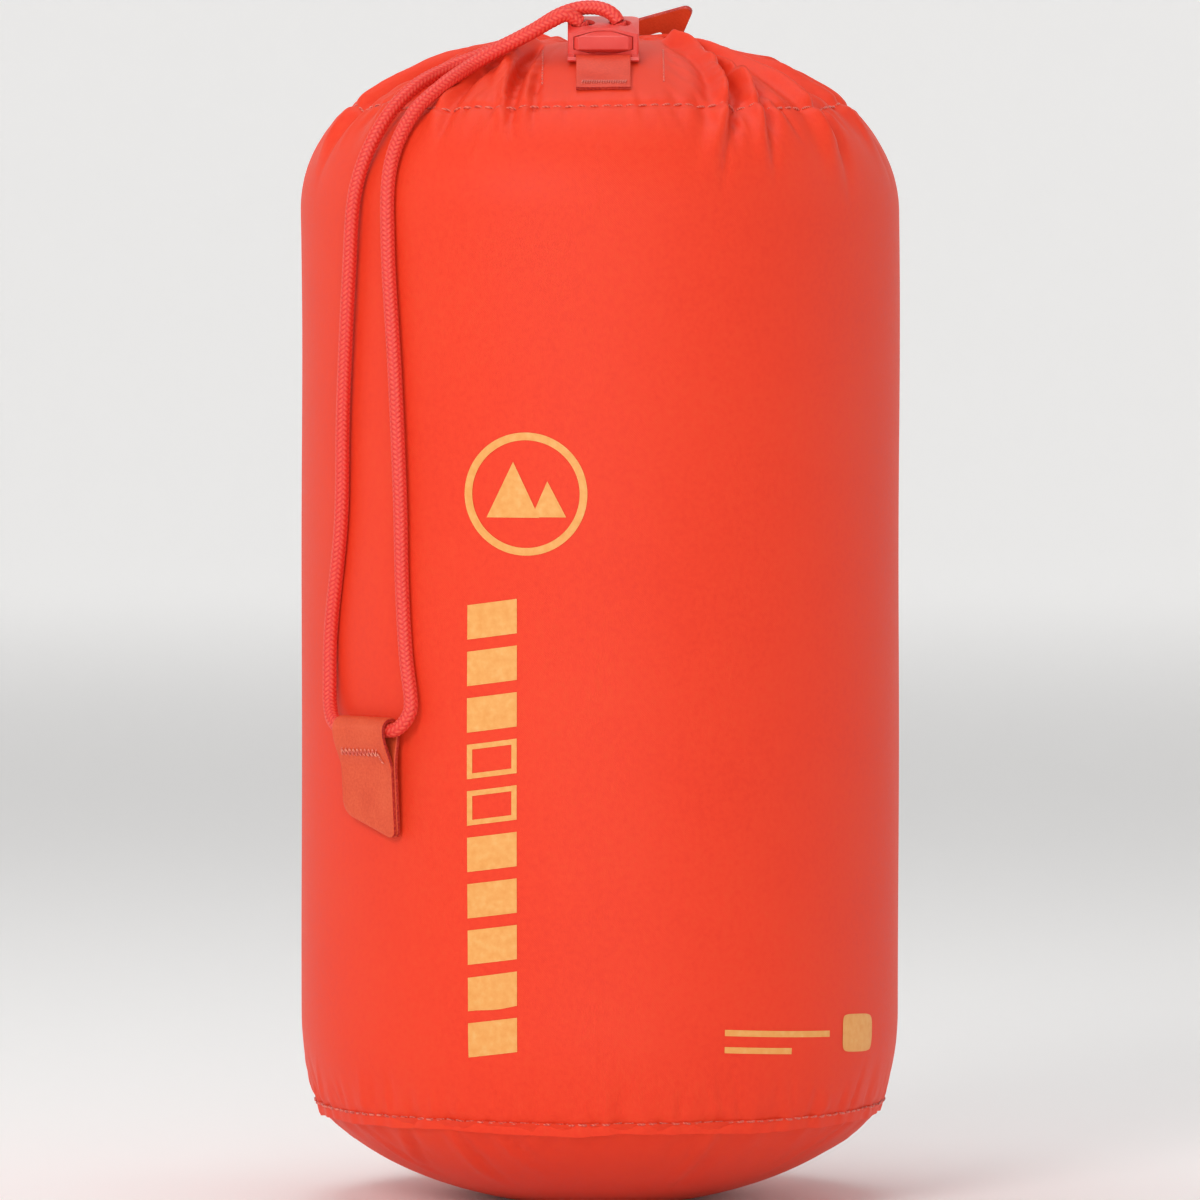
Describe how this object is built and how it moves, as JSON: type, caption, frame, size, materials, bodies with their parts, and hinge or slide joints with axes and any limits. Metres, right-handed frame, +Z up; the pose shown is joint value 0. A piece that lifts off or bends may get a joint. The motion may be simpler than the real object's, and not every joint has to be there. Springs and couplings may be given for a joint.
{
  "type": "stuff sack",
  "caption": "Round-bottomed drawstring stuff sack, packed full and cinched shut, with a spring cord lock, a looped drawcord and a folded pull tab.",
  "frame": {"origin": "bottom centre of the sack, where it rests", "axes": "+Z up along the sack, -Y towards the side with the cord lock, +X to the right seen from that side"},
  "size_m": [0.128, 0.1284, 0.2558],
  "materials": {
    "sack_cloth": "coated ripstop, low sheen",
    "thread": "matte",
    "braided_cord": "braided, low sheen",
    "trim_tape": "smooth coated tape",
    "lock_plastic": "satin moulded",
    "spring_steel": "bright",
    "soft_contents": "matte"
  },
  "bodies": {
    "sack": {"main_panel": "sack_cloth", "gathered_hem": "sack_cloth", "side_seam_stitches": "thread", "base_panel": "sack_cloth", "base_seam_stitches": "thread", "hem_stitches": "thread", "front_facing": "sack_cloth", "facing_stitches": "thread", "cord_exit_stitching": "thread", "packed_fill": "soft_contents", "lock_strap": "trim_tape", "lock_strap_bartack": "thread", "lock_housing": "lock_plastic", "lock_spring": "spring_steel", "drawcord_in_hem": "braided_cord", "drawcord_loop": "braided_cord", "pull_tab_base": "trim_tape", "pull_tab_bartack": "thread"},
    "plunger": {"lock_plunger": "lock_plastic"},
    "end_tab": {"end_tab": "trim_tape", "end_tab_bartack": "thread"},
    "pull_tab": {"pull_tab": "trim_tape"}
  },
  "joints": [
    {"name": "plunger_press", "type": "slide", "parent": "sack", "child": "plunger", "axis": [0, 0.9613, 0.2756], "range_m": [0, 0.002], "stiffness_N_per_m": 400, "springref_m": -0.003, "deforming": ["lock_spring"]},
    {"name": "end_tab_swing", "type": "hinge", "parent": "sack", "child": "end_tab", "pos_m": [-0.04904, -0.04573, 0.1027], "axis": [-0.682, 0.7314, 0], "range_deg": [0, 120]},
    {"name": "pull_tab_flex", "type": "hinge", "parent": "sack", "child": "pull_tab", "pos_m": [0.00856, 0.02487, 0.246], "axis": [0.9455, -0.3256, 0], "range_deg": [-90, 25], "stiffness_Nm_per_rad": 0.0005}
  ]
}
